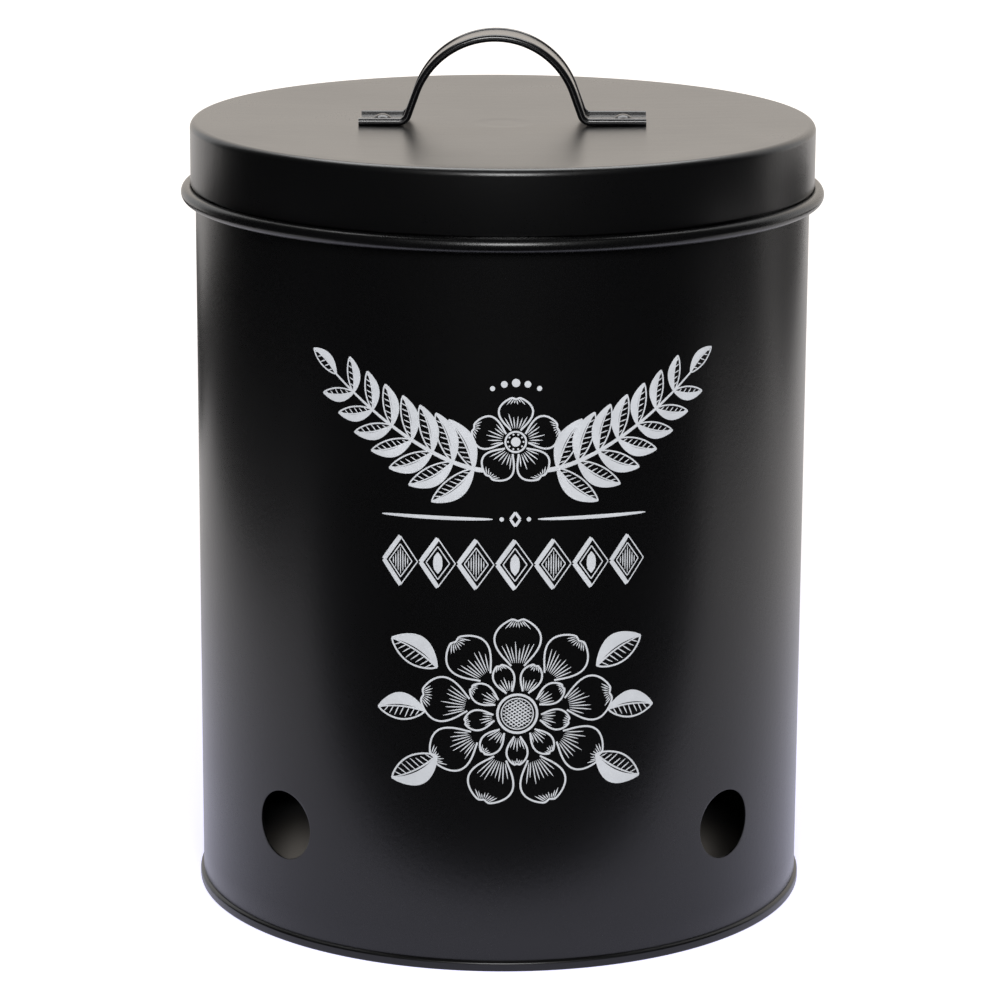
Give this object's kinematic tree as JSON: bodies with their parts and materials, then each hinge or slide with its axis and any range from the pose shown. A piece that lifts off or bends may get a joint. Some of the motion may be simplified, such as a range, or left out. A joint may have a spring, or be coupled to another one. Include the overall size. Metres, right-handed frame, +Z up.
{
  "type": "potato storage bin",
  "caption": "Round sheet-steel potato storage bin with a slip-on lid, riveted strap handle, stop bead under the lid, seamed base and round air vents low in the wall.",
  "frame": {"origin": "centre of the base ring's underside, on the surface the bin stands on", "axes": "+Z up along the bin's axis, -Y towards the printed front, +X along the handle, the side seam at +Y"},
  "size_m": [0.2094, 0.2094, 0.285],
  "materials": {
    "body_coat": "satin black powder coat",
    "base_coat": "satin black powder coat",
    "lid_coat": "satin black powder coat",
    "handle_coat": "semi-gloss black paint",
    "rivet_coat": "semi-gloss black paint",
    "print_ink": "thin matt white screen print on the front of the wall"
  },
  "bodies": {
    "bin": {"body_wall": "body_coat", "base_plate": "base_coat"},
    "lid": {"lid_shell": "lid_coat", "handle_strap": "handle_coat", "rivet_left": "rivet_coat", "rivet_right": "rivet_coat"}
  },
  "joints": [
    {"name": "lid_lift", "type": "slide", "parent": "bin", "child": "lid", "axis": [0, 0, 1], "range_m": [0, 0.12]}
  ]
}
